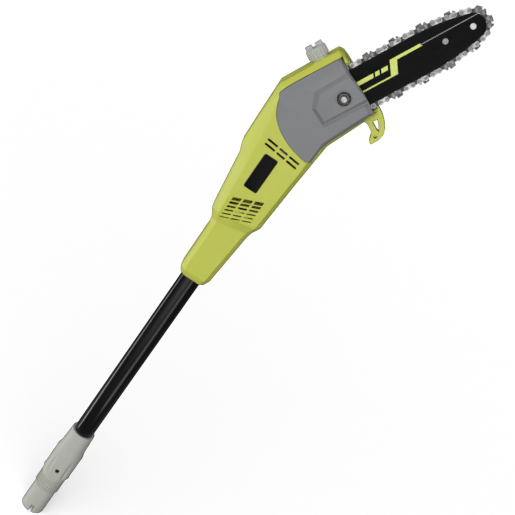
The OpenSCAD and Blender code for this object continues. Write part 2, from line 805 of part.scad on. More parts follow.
module cooling_fan() {
    color("black") translate([axis_x, 0, 0]) difference() {
        union() {
            translate([0, 0, 642]) cylinder(r = 5, h = 9);
            translate([0, 0, 649]) cylinder(r = 20, h = 1.6);
            for (a = [0 : 30 : 330]) rotate([0, 0, a]) translate([4, -0.6, 642]) cube([16, 1.2, 8]);
        }
        translate([0, 0, 600]) cylinder(r = shaft_r, h = 100);
    }
}

// ---------------------------------------------------------------- oil system

// Body of the tank in bar coordinates, drawn in by w, all on the back shell's side
module tank_block(w) {
    slab(0.3 + w, 19.5 - w) polygon([[-20 - w, 41 + w], [-51 + w, 41 + w], [-51 + w, 76 - w],
        [-20 - w, 79 - w]]);
}

module oil_tank() {
    color("whitesmoke") on_bar() difference() {
        union() {
            tank_block(0);
            translate([-neck_top, cap_y, cap_s]) rotate([0, 90, 0]) cylinder(r = neck_r, h = 20);
        }
        tank_block(2);
        translate([-90, cap_y, cap_s]) rotate([0, 90, 0]) cylinder(r = neck_r - 2.2, h = 42.8);
        translate([-30, 20, 30]) cylinder(r = 2 + fit, h = 20);
    }
}

module oil_hoses() {
    color("darkolivegreen") on_bar() {
        pipe([[-30, 20, 43], [-30, 20, 36], [-33, 24, 30], [-26, 31, 22]], 2);
        pipe([[-20, floor_y + floor_t + 2, 36], [-20, 10, 36]], 2);
    }
}

module on_neck() {
    on_bar() translate([0, cap_y, cap_s]) rotate([0, -90, 0]) children();
}

module cap_gasket() {
    color("black") on_neck() ring_z(neck_r, neck_r - 2.2, neck_top, neck_top + 1.5);
}

module oil_cap() {
    color("silver") on_neck() difference() {
        union() {
            translate([0, 0, cap_base]) linear_extrude(height = 13.5) difference() {
                circle(r = cap_r);
                for (i = [0 : 23]) rotate(i * 15) translate([cap_r + 0.5, 0]) circle(r = 1.3, $fn = 16);
            }
            for (k = [-1, 1]) translate([k * 6.9 - 4.6, -3.5, cap_base + 13])
                cube([9.2, 7, 5.5]);
        }
        translate([0, 0, cap_base - 1]) cylinder(r = neck_r + fit, h = neck_top - cap_base + 1 + 1.8);
    }
}

// ---------------------------------------------------------------- pole and coupling

module pole_tube() {
    color("black") difference() {
        ring_z(tube_d / 2, tube_d / 2 - tube_wall, 92, 584);
        translate([0, 0, 540]) rod(2.5 + fit, -40, 40);
        translate([0, 0, 97]) rod(2 + fit, -40, 0);
    }
}

module tube_bolt() {
    color("gray") translate([0, 0, 540]) {
        rod(2.5, -18.5, 19);
        rod(4.6, 19, 22);
    }
}

module tube_coupling() {
    ridge = 4.2;
    color("lightgray") difference() {
        rotate_extrude() polygon(concat([[0, 0], [spigot_d / 2, 0], [spigot_d / 2, spigot_len]],
            [for (i = [0 : 5], k = [0 : 2]) [[18.9, 20.3, 20.3][k], 47.6 + ridge * i + [0, 1, 2.2][k]]],
            [[18.9, 74], [20.6, 75], [20.6, 80], [22.6, 82], [22.6, 127], [20, 138],
                [18.6, coupling_top], [0, coupling_top]]));
        translate([0, 0, 92]) cylinder(r = tube_d / 2 + fit, h = 100);
        translate([0, 0, -1]) cylinder(r = 14.5, h = 41);
        for (k = [-1, 1]) translate([k * 5, 0, 20]) cylinder(r = 2.4, h = 90);
        for (a = [0, 180]) rotate([0, 0, a]) translate([-3, -30, -1]) cube([6, 20, 12.5]);
        translate([0, 0, 97]) {
            rod(2 + fit, -30, 0);
            rod(3.6, -30, -21);
        }
        for (a = [-90, 90]) rotate([0, 0, a]) translate([-30, -40, 84]) cube([60, 18.4, 40]);
        for (a = [-38, 38, 142, 218]) rotate([0, 0, a]) translate([0, -24.4, 86])
            cylinder(r = 3.2, h = 34);
    }
}

module coupling_screw() {
    color("dimgray") translate([0, 0, 97]) {
        rod(2, -21, -12.5);
        rod(3.4, -21.8, -21);
    }
}

// Insulating insert that holds the contacts in the spigot
module plug_insert() {
    color("black") difference() {
        translate([0, 0, 16]) cylinder(r = 14.4, h = 22);
        for (k = [-1, 1]) translate([k * 5, 0, 0]) cylinder(r = 2 + fit, h = 60);
    }
}

module plug_contacts() {
    color("gold") for (k = [-1, 1]) translate([k * 5, 0, 6]) cylinder(r = 2, h = 32);
}

// Insulated leads from the contacts through the tube to the motor terminals
module motor_wires() {
    for (k = [-1, 1]) color(k < 0 ? "black" : "red")
        pipe([[k * 5, 0, 38], [k * 5, 0, 592], [-25, k * 2.5, 636], [-25, k * 2.5, 645],
            [-23.4, k * 2, 651], [-23.4, k * 2, 656]], 1.4);
}

tube_coupling();
coupling_screw();
plug_insert();
plug_contacts();
motor_wires();
pole_tube();
tube_bolt();
housing_front();
housing_back();
housing_screws();
label_plate();
limb_hook();
bar_plate();
bar_stud();
gear_case();
gear_case_lid();
gear_case_screws();
spindle_bearings();
pinion_bearing();
motor_can();
motor_end_cap();
oil_tank();
oil_pump();
oil_hoses();
spindle();
bevel_gear();
pump_drive_gear();
drive_sprocket();
spindle_clip();
motor_shaft();
armature();
bevel_pinion();
cooling_fan();
pump_gear();
guide_bar();
nose_rivets();
drive_links();
tie_straps();
cutters();
chain_rivets();
nose_sprocket();
tension_block();
tension_screw();
sprocket_cover();
bar_nut_washer();
bar_nut();
cap_gasket();
oil_cap();
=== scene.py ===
import json
import math

import bmesh
import bpy
from mathutils import Matrix, Vector

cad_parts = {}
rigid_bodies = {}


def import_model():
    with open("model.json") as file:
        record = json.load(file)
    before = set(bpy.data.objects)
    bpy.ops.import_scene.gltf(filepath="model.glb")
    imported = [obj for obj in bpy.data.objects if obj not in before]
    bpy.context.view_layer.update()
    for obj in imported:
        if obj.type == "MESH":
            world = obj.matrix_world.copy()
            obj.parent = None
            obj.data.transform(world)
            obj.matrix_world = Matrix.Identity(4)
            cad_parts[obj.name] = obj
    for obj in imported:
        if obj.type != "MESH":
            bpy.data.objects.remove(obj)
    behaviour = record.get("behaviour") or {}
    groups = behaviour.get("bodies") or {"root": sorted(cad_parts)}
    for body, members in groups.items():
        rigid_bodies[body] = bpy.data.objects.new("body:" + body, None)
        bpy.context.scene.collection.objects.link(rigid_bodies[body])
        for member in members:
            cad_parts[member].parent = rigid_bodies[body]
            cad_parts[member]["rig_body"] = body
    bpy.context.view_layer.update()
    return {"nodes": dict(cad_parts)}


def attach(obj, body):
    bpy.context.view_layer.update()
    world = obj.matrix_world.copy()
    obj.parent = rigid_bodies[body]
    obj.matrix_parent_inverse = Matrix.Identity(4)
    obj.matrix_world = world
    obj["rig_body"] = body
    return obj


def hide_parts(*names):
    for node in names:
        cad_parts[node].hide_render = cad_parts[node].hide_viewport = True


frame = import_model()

MM = 0.001
TILT = math.radians(26.6)
HEAD_Z = 778.0
BAR = Matrix.Translation((0, 0, HEAD_Z)) @ Matrix.Rotation(TILT, 4, "Y")
BAR_Y = -16.0
FLOOR_Y = -13.0
STUD_S = 59.4
NOSE_S = 241.104
NODES = frame["nodes"]


def bar_xz(s, t):
    return (s * math.sin(TILT) - t * math.cos(TILT), HEAD_Z + s * math.cos(TILT) + t * math.sin(TILT))


# ---------------------------------------------------------------- materials


def material(name, base, rough, *, tint=None, mottle=9.0, amount=0.5, metallic=0.0, spread=0.08, specular=0.5,
             coat=0.0, coat_rough=0.1, grain=1500.0, grain_depth=0.02, streak=None, streak_amount=0.3,
             edge_wear_highlight=None, edge_wear_highlight_amount=0.5, dust=0.0, anisotropic=0.0, sheen=0.0):
    """Procedural finish: mottled colour, roughness spread, moulded or rolled grain, streaks, and lighter bevelled edges
    that are partly abrasion and partly a painted highlight.
    """
    mat = bpy.data.materials.new(name)
    mat.use_nodes = True
    nt = mat.node_tree
    n, link = nt.nodes, nt.links.new
    bsdf = n["Principled BSDF"]
    bsdf.inputs["Metallic"].default_value = metallic
    bsdf.inputs["Specular IOR Level"].default_value = specular
    bsdf.inputs["Coat Weight"].default_value = coat
    bsdf.inputs["Coat Roughness"].default_value = coat_rough
    bsdf.inputs["Anisotropic"].default_value = anisotropic
    bsdf.inputs["Sheen Weight"].default_value = sheen
    coord = n.new("ShaderNodeTexCoord")

    def noise(scale, detail=4.0, roughness=0.55, stretch=None, distortion=0.0):
        tex = n.new("ShaderNodeTexNoise")
        tex.inputs["Scale"].default_value = scale
        tex.inputs["Detail"].default_value = detail
        tex.inputs["Roughness"].default_value = roughness
        tex.inputs["Distortion"].default_value = distortion
        if stretch:
            mapping = n.new("ShaderNodeMapping")
            mapping.inputs["Rotation"].default_value = stretch[1]
            mapping.inputs["Scale"].default_value = stretch[0]
            link(coord.outputs["Object"], mapping.inputs["Vector"])
            link(mapping.outputs["Vector"], tex.inputs["Vector"])
        else:
            link(coord.outputs["Object"], tex.inputs["Vector"])
        return tex.outputs["Fac"]

    def ramp(value, lo, hi, out_lo=0.0, out_hi=1.0):
        node = n.new("ShaderNodeMapRange")
        node.inputs["From Min"].default_value = lo
        node.inputs["From Max"].default_value = hi
        node.inputs["To Min"].default_value = out_lo
        node.inputs["To Max"].default_value = out_hi
        link(value, node.inputs["Value"])
        return node.outputs["Result"]

    def mix(fac, a, b):
        node = n.new("ShaderNodeMix")
        node.data_type = "RGBA"
        link(fac, node.inputs[0])
        for socket, value in ((node.inputs[6], a), (node.inputs[7], b)):
            if isinstance(value, tuple):
                socket.default_value = (*value, 1.0)
            else:
                link(value, socket)
        return node.outputs[2]

    def product(a, b):
        node = n.new("ShaderNodeMath")
        node.operation = "MULTIPLY"
        link(a, node.inputs[0])
        if isinstance(b, float):
            node.inputs[1].default_value = b
        else:
            link(b, node.inputs[1])
        return node.outputs[0]

    tint = tint or tuple(c * 0.82 for c in base)
    cloud = noise(mottle)
    colour = mix(ramp(cloud, 0.35, 0.68, 0.0, amount), base, tint)
    fine = noise(mottle * 14, 3.0)
    colour = mix(ramp(fine, 0.4, 0.75, 0.0, amount * 0.45), colour, tint)
    rough_value = ramp(cloud, 0.3, 0.7, rough - spread, rough + spread)
    height = noise(grain, 2.0, 0.6)
    if streak:
        lines = ramp(noise(streak[0], 3.0, 0.7, stretch=streak[1:]), 0.52, 0.72, 0.0, streak_amount)
        colour = mix(lines, colour, tuple(min(1.0, c * 1.6 + 0.02) for c in base))
        lift = n.new("ShaderNodeMath")
        lift.operation = "ADD"
        link(height, lift.inputs[0])
        link(lines, lift.inputs[1])
        height = lift.outputs[0]
    # Lighter colour on bevel faces. On metal and on the bar's paint it is abrasion. On the plastic shells and cover it
    # is a painted highlight on the chamfers, with some abrasion.
    if edge_wear_highlight:
        mask = n.new("ShaderNodeAttribute")
        mask.attribute_name = "edge_wear_and_highlight"
        wear_and_highlight = product(mask.outputs["Fac"], ramp(noise(160.0, 5.0, 0.7), 0.42, 0.66, 0.0, edge_wear_highlight_amount))
        colour = mix(wear_and_highlight, colour, edge_wear_highlight)
    if dust:
        specks = ramp(noise(420.0, 6.0, 0.75), 0.60, 0.78, 0.0, dust)
        colour = mix(specks, colour, (0.42, 0.40, 0.34))
    link(colour, bsdf.inputs["Base Color"])
    link(rough_value, bsdf.inputs["Roughness"])
    bump = n.new("ShaderNodeBump")
    bump.inputs["Strength"].default_value = 0.35
    bump.inputs["Distance"].default_value = grain_depth * MM
    link(height, bump.inputs["Height"])
    link(bump.outputs["Normal"], bsdf.inputs["Normal"])
    return mat


ALONG_Z = ((1.0, 1.0, 0.03), (0, 0, 0))
ALONG_BAR = ((1.0, 1.0, 0.03), (0, -TILT, 0))
ALONG_Y = ((1.0, 0.03, 1.0), (0, 0, 0))

LIME = (0.62, 0.668, 0.095)
MATS = {
    # The lighter bevel colour of shell_green and cover_grey is a painted highlight on the chamfers, with some abrasion.
    "shell_green": material("shell_green", LIME, 0.40, tint=(0.585, 0.63, 0.080), mottle=14, amount=0.45, grain=2600,
                            grain_depth=0.03, edge_wear_highlight=(0.76, 0.82, 0.26), edge_wear_highlight_amount=0.7, specular=0.5, dust=0.03),
    "cover_grey": material("cover_grey", (0.246, 0.250, 0.260), 0.50, tint=(0.235, 0.239, 0.250), mottle=16,
                           grain=2200, grain_depth=0.05, edge_wear_highlight=(0.34, 0.345, 0.355), edge_wear_highlight_amount=0.7, dust=0.03),
    "coupling_grey": material("coupling_grey", (0.515, 0.525, 0.470), 0.44, tint=(0.46, 0.47, 0.415), mottle=18,
                              grain=2400, grain_depth=0.03, edge_wear_highlight=(0.70, 0.71, 0.66), edge_wear_highlight_amount=0.5,
                              streak=(900.0, *ALONG_Z), streak_amount=0.06, dust=0.05),
    "cap_grey": material("cap_grey", (0.50, 0.505, 0.49), 0.44, tint=(0.455, 0.46, 0.435), mottle=30, grain=2400,
                         grain_depth=0.03, edge_wear_highlight=(0.6, 0.6, 0.56), edge_wear_highlight_amount=0.5, dust=0.04),
    "tube_black": material("tube_black", (0.0022, 0.0022, 0.0022), 0.17, tint=(0.0035, 0.0035, 0.0035), mottle=22,
                           amount=0.8, spread=0.04, specular=0.35, coat=0.15, coat_rough=0.08, grain=1400, grain_depth=0.012,
                           streak=(1300.0, *ALONG_Z), streak_amount=0.03, dust=0.006),
    "label_black": material("label_black", (0.0035, 0.0035, 0.004), 0.36, specular=0.12, mottle=40, grain=1800,
                            grain_depth=0.01, dust=0.004),
    "bar_black": material("bar_black", (0.0030, 0.0030, 0.0030), 0.40, tint=(0.0060, 0.0060, 0.0060), mottle=30,
                          amount=0.9, spread=0.07, specular=0.09, grain=1700, grain_depth=0.02, streak=(1500.0, *ALONG_BAR),
                          streak_amount=0.10, edge_wear_highlight=(0.42, 0.42, 0.43), edge_wear_highlight_amount=1.0, dust=0.006),
    "paint_lime": material("paint_lime", (0.80, 0.88, 0.20), 0.40, tint=(0.72, 0.80, 0.16), mottle=60, grain=1500,
                           grain_depth=0.015, streak=(1600.0, *ALONG_BAR), streak_amount=0.12),
    "paint_grey": material("paint_grey", (0.30, 0.30, 0.29), 0.45, mottle=60, grain=1500, grain_depth=0.015,
                           streak=(1600.0, *ALONG_BAR), streak_amount=0.2),
    "chain_steel": material("chain_steel", (0.86, 0.86, 0.85), 0.42, tint=(0.34, 0.33, 0.31), mottle=120, amount=0.9,
                            metallic=1.0, spread=0.10, grain=2500, grain_depth=0.03, edge_wear_highlight=(0.72, 0.72, 0.71)),
    "cutter_chrome": material("cutter_chrome", (0.30, 0.30, 0.305), 0.30, tint=(0.08, 0.08, 0.08), mottle=110,
                              amount=0.9, metallic=1.0, spread=0.08, grain=2500, grain_depth=0.02,
                              edge_wear_highlight=(0.75, 0.75, 0.76), edge_wear_highlight_amount=0.8),
    "link_dark": material("link_dark", (0.13, 0.13, 0.125), 0.34, tint=(0.06, 0.058, 0.05), mottle=120, amount=0.9,
                          metallic=1.0, spread=0.10, grain=2500, grain_depth=0.03, edge_wear_highlight=(0.4, 0.4, 0.39)),
    "rivet_dark": material("rivet_dark", (0.42, 0.42, 0.41), 0.36, tint=(0.15, 0.15, 0.14), mottle=160, metallic=1.0,
                           grain=2500, grain_depth=0.02, edge_wear_highlight=(0.6, 0.6, 0.59)),
    "rivet_steel": material("rivet_steel", (0.86, 0.86, 0.84), 0.40, tint=(0.74, 0.74, 0.72), mottle=160, metallic=0.55,
                            grain=2500, grain_depth=0.02, edge_wear_highlight=(0.85, 0.85, 0.84)),
    "disc_grey": material("disc_grey", (0.42, 0.42, 0.41), 0.42, tint=(0.34, 0.34, 0.33), mottle=160, metallic=0.3,
                          grain=2500, grain_depth=0.02),
    "plate_steel": material("plate_steel", (0.74, 0.74, 0.73), 0.33, tint=(0.44, 0.44, 0.43), mottle=70,
                            metallic=1.0, spread=0.08, grain=2000, grain_depth=0.02, edge_wear_highlight=(0.82, 0.82, 0.82),
                            streak=(1400.0, *ALONG_Y), streak_amount=0.2),
    # Dark base: black-oxide steel, kept darker so that the bar nut in the cover's recess reads as shaded. This is
    # partly painted shade.
    "screw_steel": material("screw_steel", (0.20, 0.20, 0.205), 0.36, tint=(0.12, 0.12, 0.12), mottle=140,
                            metallic=1.0, grain=2200, grain_depth=0.02, edge_wear_highlight=(0.5, 0.5, 0.5)),
    "screw_black": material("screw_black", (0.012, 0.012, 0.012), 0.42, tint=(0.025, 0.025, 0.025), mottle=140,
                            metallic=0.3, specular=0.2, grain=2200, grain_depth=0.02),
    "shaft_steel": material("shaft_steel", (0.55, 0.55, 0.55), 0.22, tint=(0.42, 0.42, 0.42), mottle=90,
                            metallic=1.0, grain=2200, grain_depth=0.01, streak=(1500.0, *ALONG_Z), streak_amount=0.3),
    "gear_steel": material("gear_steel", (0.34, 0.34, 0.335), 0.30, tint=(0.20, 0.19, 0.17), mottle=110, amount=0.8,
                           metallic=1.0, grain=2300, grain_depth=0.03, edge_wear_highlight=(0.6, 0.6, 0.6)),
    "bearing_steel": material("bearing_steel", (0.66, 0.66, 0.66), 0.16, mottle=120, metallic=1.0, grain=2000,
                              grain_depth=0.005),
    "motor_steel": material("motor_steel", (0.085, 0.085, 0.09), 0.38, tint=(0.05, 0.05, 0.052), mottle=60,
                            metallic=1.0, grain=1800, grain_depth=0.02, streak=(1200.0, *ALONG_Z), streak_amount=0.2),
    "case_aluminium": material("case_aluminium", (0.34, 0.345, 0.35), 0.48, tint=(0.24, 0.245, 0.25), mottle=70,
                               metallic=0.9, grain=1100, grain_depth=0.08),
    "contact_brass": material("contact_brass", (0.78, 0.56, 0.22), 0.24, tint=(0.58, 0.38, 0.14), mottle=160,
                              metallic=1.0, grain=2200, grain_depth=0.01),
    "insulator_black": material("insulator_black", (0.018, 0.018, 0.019), 0.5, tint=(0.028, 0.028, 0.028),
                                mottle=60, grain=2000, grain_depth=0.04, edge_wear_highlight=(0.05, 0.05, 0.05)),
    "rubber": material("rubber", (0.018, 0.018, 0.017), 0.7, tint=(0.03, 0.03, 0.028), mottle=90, grain=1600,
                       grain_depth=0.05, dust=0.08),
    "wire_insulation": material("wire_insulation", (0.20, 0.012, 0.010), 0.42, tint=(0.14, 0.008, 0.008), mottle=80,
                                grain=1500, grain_depth=0.02),
    "tank_white": material("tank_white", (0.72, 0.72, 0.66), 0.42, tint=(0.64, 0.63, 0.55), mottle=40, grain=1400,
                           grain_depth=0.04),
    "pump_plastic": material("pump_plastic", (0.55, 0.52, 0.42), 0.4, mottle=90, grain=1800, grain_depth=0.03),
    "armature_steel": material("armature_steel", (0.42, 0.20, 0.09), 0.34, tint=(0.25, 0.24, 0.23), mottle=160,
                               amount=0.9, metallic=0.9, grain=900, grain_depth=0.15,
                               streak=(1500.0, *ALONG_Z), streak_amount=0.4),
}


# ---------------------------------------------------------------- mesh helpers (all in millimetres)


def new_object(name, bm, matrix=None):
    """Object from a bmesh drawn in millimetres."""
    if matrix:
        bm.transform(matrix)
    bm.transform(Matrix.Scale(MM, 4))
    mesh = bpy.data.meshes.new(name)
    bm.to_mesh(mesh)
    bm.free()
    obj = bpy.data.objects.new(name, mesh)
    bpy.context.scene.collection.objects.link(obj)
    return obj


def skin(rings):
    """Closed solid through rings of points that all have the same count."""
    bm = bmesh.new()
    rows = [[bm.verts.new(p) for p in ring] for ring in rings]
    count = len(rows[0])
    for a, b in zip(rows, rows[1:]):
        for i in range(count):
            j = (i + 1) % count
            bm.faces.new((a[i], a[j], b[j], b[i]))
    bm.faces.new(list(reversed(rows[0])))
    bm.faces.new(rows[-1])
    bmesh.ops.recalc_face_normals(bm, faces=bm.faces)
    return bm


def prism(outline, y0, y1):
    """Outline of (x, z) points made thick along Y."""
    return skin([[(x, y0, z) for x, z in outline], [(x, y1, z) for x, z in outline]])


def cylinder(r, y0, y1, n=48):
    ring = [(r * math.cos(2 * math.pi * i / n), r * math.sin(2 * math.pi * i / n)) for i in range(n)]
    return prism(ring, y0, y1)


def block(size, centre=(0, 0, 0), matrix=None):
    bm = bmesh.new()
    bmesh.ops.create_cube(bm, size=1.0)
    bm.transform(Matrix.Translation(centre) @ Matrix.Diagonal((*size, 1.0)))
    if matrix:
        bm.transform(matrix)
    return bm


def lathe(profile, n=96):
    """Solid turned about Z from (r, z) points, given from the axis out and back to the axis."""
    bm = bmesh.new()
    rows = []
    for r, z in profile:
        if r == 0:
            rows.append([bm.verts.new((0, 0, z))])
        else:
            rows.append([bm.verts.new((r * math.cos(2 * math.pi * i / n), r * math.sin(2 * math.pi * i / n), z))
                         for i in range(n)])
    closed = rows if len(rows[0]) == 1 else rows + [rows[0]]
    for a, b in zip(closed, closed[1:]):
        for i in range(n):
            j = (i + 1) % n
            face = [a[0]] if len(a) == 1 else [a[i], a[j]]
            face += [b[0]] if len(b) == 1 else [b[j], b[i]]
            bm.faces.new(face)
    bmesh.ops.recalc_face_normals(bm, faces=bm.faces)
    return bm


def soften(bm, width, segments=3, angle=14, keep=None):
    """Rounds the edges that turn by more than the angle."""
    limit = math.radians(angle)
    edges = [e for e in bm.edges if len(e.link_faces) == 2 and e.calc_face_angle() > limit
             and (keep is None or not keep(e))]
    bmesh.ops.bevel(bm, geom=edges, offset=width, segments=segments, profile=0.5, affect="EDGES",
                    clamp_overlap=True)
    return bm


def apply_modifiers(obj):
    graph = bpy.context.evaluated_depsgraph_get()
    mesh = bpy.data.meshes.new_from_object(obj.evaluated_get(graph))
    obj.modifiers.clear()
    old, obj.data = obj.data, mesh
    bpy.data.meshes.remove(old)
    mesh.name = obj.name


def boolean(obj, operation, *cutters):
    for cutter in cutters:
        if not isinstance(cutter, bpy.types.Object):
            cutter = new_object("cutter", cutter)
        mod = obj.modifiers.new("cut", "BOOLEAN")
        mod.operation = operation
        mod.solver = "EXACT"
        mod.object = cutter
        bpy.context.view_layer.update()
        apply_modifiers(obj)
        bpy.data.objects.remove(cutter)
    return obj


def tidy_mesh(obj, angle=2.0):
    """Welds and removes the seams that booleans leave across flat faces."""
    bm = bmesh.new()
    bm.from_mesh(obj.data)
    bmesh.ops.remove_doubles(bm, verts=bm.verts, dist=0.00001)
    bmesh.ops.dissolve_limit(bm, angle_limit=math.radians(angle), verts=bm.verts, edges=bm.edges)
    bm.to_mesh(obj.data)
    bm.free()


def finish(obj, body, mat, slot=None, nodes=(), bevel=0.0, segments=2, angle=32, sharp=32):
    """Bevels with edges lightened by the mask (abrasion, and a painted highlight on plastics), shades, and joins the
    piece to its body.
    """
    if bevel:
        obj.data.materials.clear()
        for _ in range(2):
            obj.data.materials.append(None)
        mod = obj.modifiers.new("edges", "BEVEL")
        mod.width = bevel * MM
        mod.segments = segments
        mod.limit_method = "ANGLE"
        mod.angle_limit = math.radians(angle)
        mod.miter_outer = "MITER_ARC"
        mod.use_clamp_overlap = True
        mod.material = 1
        apply_modifiers(obj)
    mesh = obj.data
    # Mask of bevel faces, which the materials lighten: abrasion, and a painted highlight on the plastic chamfers.
    edge_wear_and_highlight = mesh.color_attributes.new("edge_wear_and_highlight", "BYTE_COLOR", "CORNER")
    for poly in mesh.polygons:
        value = 1.0 if poly.material_index == 1 else 0.0
        poly.material_index = 0
        for i in poly.loop_indices:
            edge_wear_and_highlight.data[i].color = (value, value, value, 1.0)
    mesh.materials.clear()
    mesh.materials.append(MATS[mat])
    mesh.shade_smooth()
    mesh.set_sharp_from_angle(angle=math.radians(sharp))
    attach(obj, body)
    slot or mat
    if nodes:
        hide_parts(*nodes)
    return obj


def from_node(name, node, *, weld=True):
    """New object that copies a CAD node's mesh, with its flat faces joined up again."""
    obj = bpy.data.objects.new(name, NODES[node].data.copy())
    bpy.context.scene.collection.objects.link(obj)
    if weld:
        tidy_mesh(obj, 0.5)
    return obj


def offset_outline(points, d):
    """Outline of (x, z) points moved outwards by d with mitred corners."""
    area = sum(a[0] * b[1] - b[0] * a[1] for a, b in zip(points, points[1:] + points[:1]))
    sign = 1.0 if area > 0 else -1.0
    out = []
    for p, q, r in zip(points[-1:] + points[:-1], points, points[1:] + points[:1]):
        a, b = Vector(q) - Vector(p), Vector(r) - Vector(q)
        na = Vector((a.y, -a.x)).normalized() * sign
        nb = Vector((b.y, -b.x)).normalized() * sign
        m = (na + nb).normalized()
        out.append(tuple(Vector(q) + m * (d / max(0.4, m.dot(na)))))
    return out


def smooth_outline(points, keep, steps=4):
    """Rounds an outline with a closed Catmull-Rom curve, except at the points in keep."""
    n = len(points)
    out = []
    for i in range(n):
        p = [Vector(points[(i + k) % n]) for k in (-1, 0, 1, 2)]
        if i in keep:
            p[0] = p[1] * 2 - p[2]
        if (i + 1) % n in keep:
            p[3] = p[2] * 2 - p[1]
        straight = i in keep and (i + 1) % n in keep
        for k in range(1 if straight else steps):
            u = k / steps
            out.append(tuple(0.5 * ((2 * p[1]) + (p[2] - p[0]) * u + (2 * p[0] - 5 * p[1] + 4 * p[2] - p[3]) * u * u
                                    + (3 * p[1] - p[0] - 3 * p[2] + p[3]) * u ** 3)))
    return out


# ---------------------------------------------------------------- housing shells

SECTIONS = [
    ((-18.6, 494.5), (19.4, 494.5), 18, 18, (7, 7), (7, 7), (7, 7)),
    ((-23.3, 504), (23.8, 506), 22.5, 22.5, (7.5, 10), (7, 9), (8, 9)),
    ((-23.6, 577), (30.2, 592), 24, 24, (7.5, 11), (7, 9), (8, 10)),
    ((-26, 590), (32.3, 603), 25, 26, (9, 12), (7, 9), (9, 11)),
    ((-33.7, 604.8), (37.7, 617), 32, 32, (11, 16), (7, 10), (11, 14)),
    ((-43.7, 687.2), (42, 700), 32, 34, (15, 19), (7, 11), (13, 15)),
    ((-49.6, 704), (43, 712), 32, 35, (18, 20), (7, 11), (14, 16)),
    ((-50.3, 732.6), (44.3, 732.6), 32, 36, (17, 19), (8, 12), (14, 16)),
    (bar_xz(-5.6, 54.8), bar_xz(8, -48.4), 32, 36, (9, 15), (10, 15), (13, 15)),
    (bar_xz(39, 55), bar_xz(52, -44.3), 32, 36, (8, 14), (10, 16), (12, 14)),
    (bar_xz(81, 55), bar_xz(86, -41), 32, 36, (8, 14), (9, 16), (12, 14)),
    (bar_xz(85.5, 49), bar_xz(89, -38), 29, 32, (6, 12), (7, 14), (10, 12)),
]


def housing_ring(q, w):
    """One ring of the housing, drawn in by w."""
    left, right = Vector(q[0]), Vector(q[1])
    e = (right - left).normalized()
    a, b = left + w * e, right - w * e
    yf, yb, k = q[2] - w, q[3] - w, 0.4 * w

    def p(base, along, y):
        return (base.x + along * e.x, y, base.y + along * e.y)

    return [p(a, q[4][0] - k, -yf), p(a, 0, -yf + q[4][1] - k), p(a, 0, yb - q[6][1] + k), p(a, q[6][0] - k, yb),
            p(b, k - q[6][0], yb), p(b, 0, yb - q[6][1] + k), p(b, 0, -yf + q[5][1] - k), p(b, k - q[5][0], -yf)]


def housing_solid(w, round_by=0.0, sections=SECTIONS):
    bm = skin([housing_ring(q, w) for q in sections])
    if round_by:
        soften(bm, round_by, 4, 6)
    bmesh.ops.triangulate(bm, faces=[f for f in bm.faces if len(f.verts) > 3])
    return bm


def housing_hollow(w=2.5):
    neck = ((-18.6, 500.5), (19.4, 500.5), 18.5, 18.5, (6, 7), (6, 7), (6, 7))
    front = (bar_xz(80, 54), bar_xz(85, -40.5), 32, 36, (8, 14), (9, 16), (12, 14))
    return housing_solid(w, 0, [neck, *SECTIONS[1:-2], front])


COVER = [(-47, 82), (-47.2, 0), (-40, -13), (-30, -22.5), (-20, -28.5), (-8, -32), (2, -33.3), (16, -33), (29, -31),
         (44, -27), (51, -24), (54.5, -20), (44, 7.5), (40.6, 52), (38, 88), (28, 86), (-24, 80.5)]
COVER_KEEP = {0, 11, 14, 15, 16}
SCREWS = [(-24, 619), (27, 626), (-38, 715), (37, 742), (-41, 772), bar_xz(78, -30), bar_xz(76, 14), bar_xz(26, 46)]


def cap_bore():
    bm = lathe([(0, 40), (11.3, 40), (11.3, 90), (0, 90)], 48)
    bm.transform(BAR @ Matrix.Translation((0, 5, 54)) @ Matrix.Rotation(-math.pi / 2, 4, "Y"))
    return bm


def upper_slots(y0, y1):
    for row in (0, 1):
        for x, w in ((-16, 16.6), (2.4, 13.4), (20.5, 16.6)):
            turn = Matrix.Translation((x, 0, 728.5 - 7 * row - 0.11 * x)) @ Matrix.Rotation(math.radians(6), 4, "Y")
            bm = block((w, y1 - y0, 3.2), (0, (y0 + y1) / 2, 0))
            soften(bm, 0.8, 2, 30, keep=lambda e: abs(e.verts[0].co.y - e.verts[1].co.y) < 1)
            bm.transform(turn)
            yield bm


def lower_slots(y0, y1):
    for row in range(6):
        for x in (-12.9, 1.2, 15.3):
            half = 1.0 + 0.072 * row * row
            bm = prism([(-5.7, -2.45 - half), (5.7, 2.45 - half), (5.7, 2.45 + half), (-5.7, half - 2.45)], y0, y1)
            soften(bm, 0.4, 2, 30, keep=lambda e: abs(e.verts[0].co.y - e.verts[1].co.y) < 1)
            yield moved(bm, Matrix.Translation((x, 0, 611 + 5.9 * row + 0.09 * row * row + 0.43 * x)))


def grille_scoop():
    """Shallow hollow round the air inlet, deepest at its lower lip."""
    return skin([[(-22, -34, 637.5), (23.5, -34, 657), (23.5, -34, 612.5), (-22, -34, 603.5)],
                 [(-21.5, -31.9, 636.5), (23, -31.9, 655.5), (22.5, -30.2, 615.0), (-20.5, -30.2, 606.5)]])


def moved(bm, matrix):
    bm.transform(matrix)
    return bm


